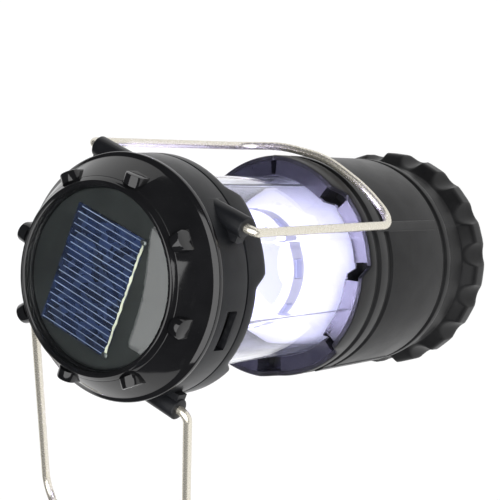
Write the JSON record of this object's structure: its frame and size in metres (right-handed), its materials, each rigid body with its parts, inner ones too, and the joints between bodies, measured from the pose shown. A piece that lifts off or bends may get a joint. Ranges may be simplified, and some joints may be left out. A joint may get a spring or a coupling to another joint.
{
  "type": "solar lantern",
  "caption": "Collapsible camping lantern with a solar cell under a clear dome, a sliding lit lens tube, wire handles and a scalloped base.",
  "frame": {"origin": "centre of the flat underside of the base", "axes": "+Z along the lantern's axis towards the solar cell; the charging port faces +X and the front handle hangs on the +Y side"},
  "size_m": [0.0876, 0.1598, 0.1926],
  "materials": {
    "gloss_black": "moulded gloss black ABS",
    "satin_black": "fine satin black ABS",
    "clear_dome": "clear polished polycarbonate",
    "clear_tube": "clear polycarbonate",
    "tray_plastic": "dark grey plastic",
    "solar_silicon": "blue polycrystalline silicon under resin",
    "silver_print": "printed silver conductor lines",
    "busbar_strip": "tinned strip",
    "plated_steel": "zinc plated steel",
    "circuit_board": "green solder mask",
    "components": "moulded component cases",
    "lead_rubber": "insulated lead",
    "led_aluminium": "white coated aluminium board",
    "white_plastic": "white reflector plastic",
    "led_epoxy": "clear LED lens, lit",
    "contact_brass": "bright brass",
    "cell_jacket": "plain cell jacket",
    "nickel_wire": "bright nickel plated spring wire"
  },
  "bodies": {
    "barrel": {"sleeve": "satin_black", "collar_ring": "satin_black", "contact_rails": "contact_brass", "base_ring": "satin_black", "base_screws": "plated_steel", "battery_holder": "satin_black", "battery_cells": "cell_jacket", "contact_plate": "plated_steel"},
    "battery_door": {"battery_cover": "satin_black", "contact_springs": "plated_steel"},
    "head": {"top_cap": "gloss_black", "bezel_ring": "gloss_black", "dome_cover": "clear_dome", "cell_tray": "tray_plastic", "solar_cell": "solar_silicon", "cell_fingers": "silver_print", "cell_busbar": "busbar_strip", "upper_housing": "satin_black", "skirt_ring": "satin_black", "head_screws": "plated_steel", "charge_board": "circuit_board", "usb_socket": "plated_steel", "usb_tongue": "tray_plastic", "board_parts": "components", "cell_leads": "lead_rubber", "led_board": "led_aluminium", "reflector_plate": "white_plastic", "leds": "led_epoxy", "lens_tube": "clear_tube", "tube_flange": "satin_black", "reflector_funnel": "white_plastic", "light_ring": "white_plastic", "side_leds": "led_epoxy", "contact_wipers": "contact_brass"},
    "front_handle": {"front_handle": "nickel_wire"},
    "rear_handle": {"rear_handle": "nickel_wire"}
  },
  "joints": [
    {"name": "head_slide", "type": "slide", "parent": "barrel", "child": "head", "axis": [0, 0, 1], "range_m": [-0.0638, 0]},
    {"name": "front_handle_pivot", "type": "hinge", "parent": "head", "child": "front_handle", "pos_m": [0, 0.0319, 0.16845], "axis": [1, 0, 0], "range_deg": [0, 190]},
    {"name": "rear_handle_pivot", "type": "hinge", "parent": "head", "child": "rear_handle", "pos_m": [0, -0.0319, 0.16845], "axis": [-1, 0, 0], "range_deg": [-62, 128]},
    {"name": "battery_cover_twist", "type": "hinge", "parent": "barrel", "child": "battery_door", "pos_m": [0, 0, 0.002], "axis": [0, 0, 1], "range_deg": [0, 30]}
  ]
}
